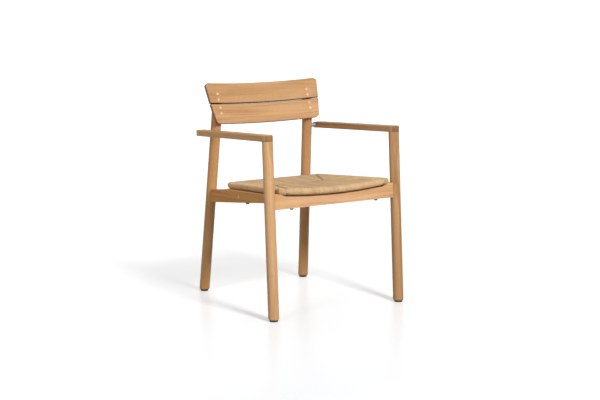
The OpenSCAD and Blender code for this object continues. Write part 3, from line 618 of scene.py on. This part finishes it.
def finish_wood():
    right = Vector((1, 0, 0))
    back = Vector((0, 1, 0))
    rail_left, rail_right = Vector((0.120, 1, -0.07)), Vector((-0.120, 1, -0.07))
    arm_left, arm_right = Vector((0.03, 1, -0.052)), Vector((-0.03, 1, -0.052))
    woods = {
        "leg_front_left": (lean(3.5), (0.31, 0.20), 1.08, -0.5),
        "leg_front_right": (lean(3.5), (-0.24, 0.33), 0.81, 0.1),
        "post_back_left": (lean(-5.4, -2.0), (0.13, -0.19), 0.89, 0.7),
        "post_back_right": (lean(-5.4, 2.0), (-0.30, -0.17), 0.88, 0.6),
        "rail_front": (right, (0.35, 0.30), 1.06, -0.2),
        # Painted light: the left rail's high warmth stands in for warm light bounced onto its
        # shaded outer face
        "rail_left": (rail_left, (0.15, 0.30), 1.00, 2.1),
        "rail_right": (rail_right, (-0.12, 0.31), 0.92, 0.6),
        "rail_cross_middle": (right, (0.1, 0.28), 0.90, 0.5),
        "rail_cross_back": (right, (-0.2, 0.28), 0.93, 0.5),
        "rail_cleat": (right, (-0.35, 0.31), 0.80, 0.5),
        "arm_left": (arm_left, (-0.30, 0.50), 1.00, 0.2),
        # Painted shade: the right arm's low tone deepens its shaded inner face
        "arm_right": (arm_right, (0.40, 0.52), 0.74, 0.1),
        "slat_upper": (right, (0.10, 0.62), 0.87, 0.1),
        "slat_lower": (right, (0.05, 0.80), 0.935, 0.0),
        "seat_bar_front": (right, (0.30, 0.30), 0.9, 0.3),
        "seat_bar_back": (right, (0.28, 0.30), 0.9, 0.3),
        "seat_bar_left": (back, (0.30, 0.32), 0.9, 0.3),
        "seat_bar_right": (back, (0.33, 0.30), 0.9, 0.3),
    }
    for node, (grain, pith, tone, warm) in woods.items():
        # Painted shade beside the gap between the two slats
        gap_shade = SLAT_GAP if node.startswith("slat_") else None
        figure = STRONG_FIGURE.get(node, FIGURE)
        # The front legs get painted shade that deepens towards the floor
        shaded_low = node.startswith("leg_front_")
        paint(node, teak("teak_" + node, grain, pith, tone, warm, figure, gap_shade, shaded_low))
    for node in ("arm_left", "arm_right", "rail_front", "rail_left", "rail_right",
                 "slat_upper", "slat_lower"):
        ease_edges(node)
    for node in ("slat_plugs", "arm_plugs", "rail_plugs", "arm_dowels", "rail_dowels"):
        paint(node, PLUG)


def finish_metal_and_plastic():
    steel = brushed_steel()
    for node in ("arm_spacer_left", "arm_spacer_right", "slat_screws", "arm_screws",
                 "rail_screws", "cleat_screws", "seat_screws"):
        paint(node, steel)
    glide = dark_plastic("glide_plastic", (0.030, 0.026, 0.023), 0.45)
    for node in ("glide_front_left", "glide_front_right", "glide_back_left", "glide_back_right"):
        paint(node, glide)
    rubber = dark_plastic("bumper_rubber", (0.016, 0.016, 0.017), 0.60)
    for node in ("bumpers_front", "bumpers_side"):
        paint(node, rubber)


# Studio

def stage_piece(name, points, faces, material):
    """A still piece of the studio, which shows in glossy surfaces but lights no other."""
    mesh = bpy.data.meshes.new(name)
    mesh.from_pydata(points, [], faces)
    mesh.materials.append(material)
    made = bpy.data.objects.new(name, mesh)
    bpy.context.scene.collection.objects.link(made)
    made.visible_diffuse = False
    return made


def floor():
    """Wide pale floor that takes the soft shadows and is evenly white outside them."""
    s = Shader("pale_floor")
    place = s.node("ShaderNodeTexCoord", out=3)
    cloud = s.noise(place, 2.0, 2.0)
    ray = s.node("ShaderNodeVectorMath", {"operation": "SUBTRACT"}, place, tuple(KEY_AT))
    reach = s.node("ShaderNodeVectorMath", {"operation": "LENGTH"}, ray, out=1)
    strength = KEY_WATTS * KEY_AT.z * FLOOR_SHADE[1] / math.pi ** 2
    lit = s.dot(ray, KEY_AIM).math("MAXIMUM", 0.0) * strength / reach.math("POWER", 4.0)
    glow = (FLOOR_GLOW - lit).math("MAXIMUM", 0.0)
    s.put(s.surface.inputs["Emission Color"], s.join(glow, glow, glow))
    s.surface.inputs["Emission Strength"].default_value = 1.0
    s.surface.inputs["Specular IOR Level"].default_value = 0.05
    s.finish(s.mix(cloud * 0.3, FLOOR_SHADE, tuple(v * 0.98 for v in FLOOR_SHADE)), 0.30)
    size = BACKDROP_RADIUS
    points = [(-size, -size, 0), (size, -size, 0), (size, size, 0), (-size, size, 0)]
    made = stage_piece("floor", points, [(0, 1, 2, 3)], s.material)
    made.visible_glossy = False


def backdrop():
    """White wall round the floor, far behind the chair from every side."""
    s = Shader("white_wall")
    s.surface.inputs["Emission Color"].default_value = (1, 1, 1, 1)
    s.surface.inputs["Emission Strength"].default_value = 1.0
    s.surface.inputs["Base Color"].default_value = (0.8, 0.8, 0.8, 1)
    turns = 48
    ring = [(math.cos(math.tau * i / turns), math.sin(math.tau * i / turns)) for i in range(turns)]
    radius = BACKDROP_RADIUS * 0.98
    points = [(radius * x, radius * y, z) for z in WALL_HEIGHTS for x, y in ring]
    faces = [(i, turns + i, turns + (i + 1) % turns, (i + 1) % turns) for i in range(turns)]
    wall = stage_piece("backdrop", points, faces, s.material)
    wall.visible_shadow = False


def soft_box(name, at, aim, watts, width, colour):
    """Round lamp near the chair, aimed along aim."""
    light = bpy.data.lights.new(name, "AREA")
    light.shape = "DISK"
    light.size = width
    light.energy = watts
    light.color = colour
    made = bpy.data.objects.new(name, light)
    made.location = at
    made.rotation_euler = aim.to_track_quat("-Z", "Y").to_euler()
    made.visible_camera = False
    bpy.context.scene.collection.objects.link(made)


def lamp(name, azimuth, elevation, strength, spread, colour):
    """Soft light from far away; azimuth turns from the front towards the right."""
    light = bpy.data.lights.new(name, "SUN")
    light.energy = strength * math.pi
    light.angle = math.radians(spread)
    light.color = colour
    made = bpy.data.objects.new(name, light)
    a, e = math.radians(azimuth), math.radians(elevation)
    source = Vector((math.sin(a) * math.cos(e), -math.cos(a) * math.cos(e), math.sin(e)))
    made.rotation_euler = (-source).to_track_quat("-Z", "Y").to_euler()
    bpy.context.scene.collection.objects.link(made)


def studio():
    world = bpy.data.worlds.new("studio")
    world.use_nodes = True
    light = world.node_tree.nodes["Background"].inputs
    light["Color"].default_value = (*WORLD_SHADE, 1)
    light["Strength"].default_value = WORLD_LIGHT
    bpy.context.scene.world = world
    bpy.context.scene.view_settings.view_transform = "Standard"
    floor()
    backdrop()
    soft_box("key", KEY_AT, KEY_AIM, KEY_WATTS, KEY_WIDTH, (1.0, 0.995, 0.985))
    lamp("fill", -67, 27, 0.15, 16, (0.97, 0.985, 1.0))
    lamp("side", -118, 18, 0.09, 60, (0.94, 0.98, 1.0))
    lamp("right", 62, 22, 0.10, 50, (1.0, 0.99, 0.97))
    lamp("back", 150, 40, 0.13, 60, (1.0, 1.0, 1.0))


def camera():
    data = bpy.data.cameras.new("camera")
    data.lens = CAMERA_LENS
    data.sensor_width = 36.0
    data.clip_end = 300.0
    made = bpy.data.objects.new("camera", data)
    back = Vector((
        math.sin(CAMERA_AZIMUTH) * math.cos(CAMERA_ELEVATION),
        -math.cos(CAMERA_AZIMUTH) * math.cos(CAMERA_ELEVATION),
        math.sin(CAMERA_ELEVATION),
    ))
    made.location = CAMERA_TARGET + back * CAMERA_DISTANCE
    made.rotation_euler = (-back).to_track_quat("-Z", "Y").to_euler()
    bpy.context.scene.collection.objects.link(made)
    bpy.context.scene.camera = made


camera()
PLUG = plug_wood()
woven_seat()
finish_wood()
finish_metal_and_plastic()
studio()
